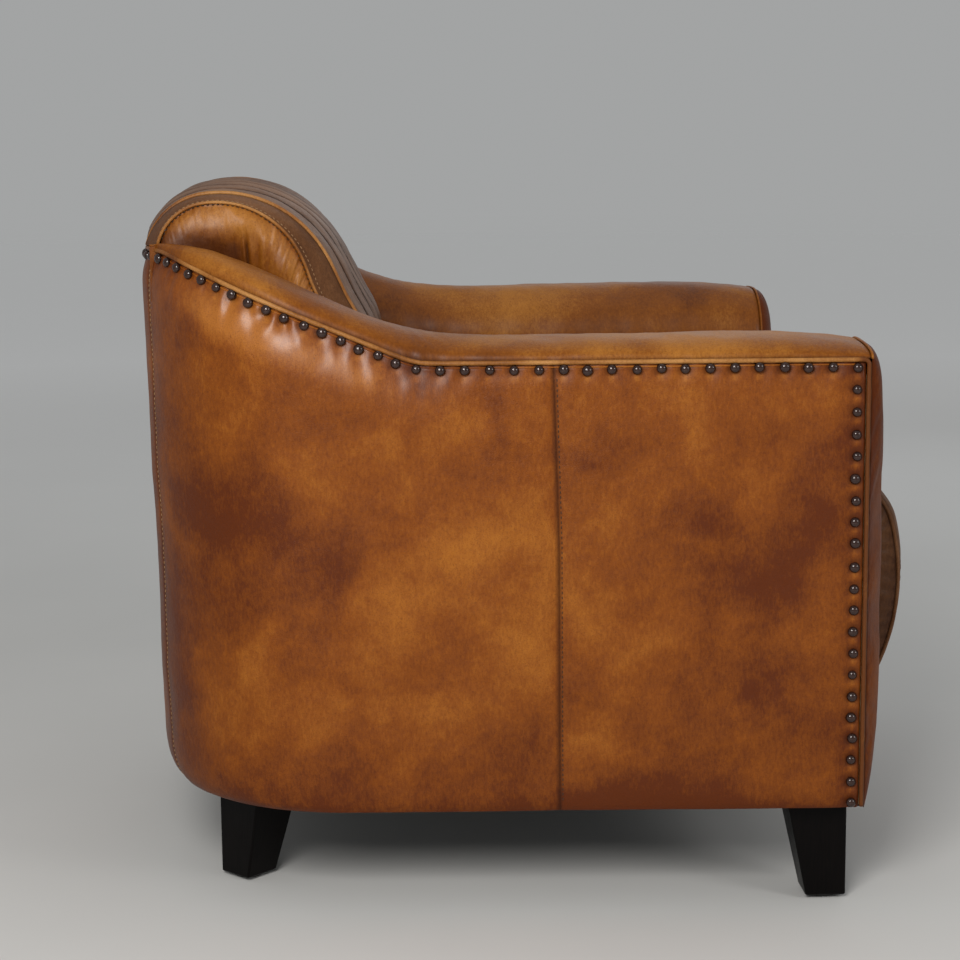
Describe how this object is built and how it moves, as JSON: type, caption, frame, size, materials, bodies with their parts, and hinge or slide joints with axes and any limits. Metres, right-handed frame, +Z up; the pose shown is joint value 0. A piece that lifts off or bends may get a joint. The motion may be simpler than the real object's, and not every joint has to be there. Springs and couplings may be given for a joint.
{
  "type": "tub chair",
  "caption": "Leather tub chair with a channelled back and seat, piped padded arms, a nail-head trimmed rim and tapered lacquered legs.",
  "frame": {"origin": "on the floor under the middle of the chair's width and depth", "axes": "+Z up, the chair faces -Y, +X to the sitter's left"},
  "size_m": [0.8068, 0.8608, 0.7795],
  "materials": {
    "hardwood": "planed beech, unfinished",
    "plywood": "raw plywood",
    "fibreboard": "plain fibreboard",
    "spring_steel": "oiled spring wire",
    "zinc_steel": "zinc plated",
    "hessian": "woven jute",
    "webbing": "elastic webbing",
    "dust_cloth": "black non-woven cloth",
    "foam": "upholstery foam",
    "leather": "aged semi-gloss cognac leather",
    "leather_band": "aged semi-gloss brown leather",
    "leather_welt": "rubbed tan leather cord cover",
    "nail_bronze": "antique bronze",
    "leg_lacquer": "satin black lacquer",
    "glide_plastic": "moulded plastic"
  },
  "bodies": {
    "root": {"arm_board_left": "plywood", "arm_board_right": "plywood", "arm_cover_left": "leather", "arm_cover_right": "leather", "arm_facing_left": "leather", "arm_facing_right": "leather", "arm_foam_left": "foam", "arm_foam_right": "foam", "arm_rail_left": "hardwood", "arm_rail_right": "hardwood", "back_band_left": "leather_band", "back_band_right": "leather_band", "back_board": "fibreboard", "back_cover": "leather", "back_foam": "foam", "back_lower_rail": "hardwood", "back_side_left": "leather", "back_side_right": "leather", "back_top_rail": "hardwood", "back_webbing": "webbing", "back_welts": "leather_welt", "corner_blocks": "hardwood", "dust_cover": "dust_cloth", "front_apron": "leather", "front_left_leg": "leg_lacquer", "front_post_left": "hardwood", "front_post_right": "hardwood", "front_rail": "hardwood", "front_right_leg": "leg_lacquer", "glides": "glide_plastic", "leg_bolts": "zinc_steel", "outside_back_panel": "leather", "rear_left_leg": "leg_lacquer", "rear_post_left": "hardwood", "rear_post_right": "hardwood", "rear_rail": "hardwood", "rear_right_leg": "leg_lacquer", "rim_welt": "leather_welt", "seat_cover": "leather", "seat_foam": "foam", "seat_hessian": "hessian", "seat_rear_rail": "hardwood", "seat_side_left": "leather", "seat_side_right": "leather", "seat_springs": "spring_steel", "seat_welts": "leather_welt", "side_board_left": "fibreboard", "side_board_right": "fibreboard", "side_front_panel_left": "leather", "side_front_panel_right": "leather", "side_rail_left": "hardwood", "side_rail_right": "hardwood", "side_rear_panel_left": "leather", "side_rear_panel_right": "leather", "slope_rail_left": "hardwood", "slope_rail_right": "hardwood", "spring_clips": "spring_steel", "studs": "nail_bronze", "tee_nuts": "zinc_steel"}
  },
  "joints": []
}
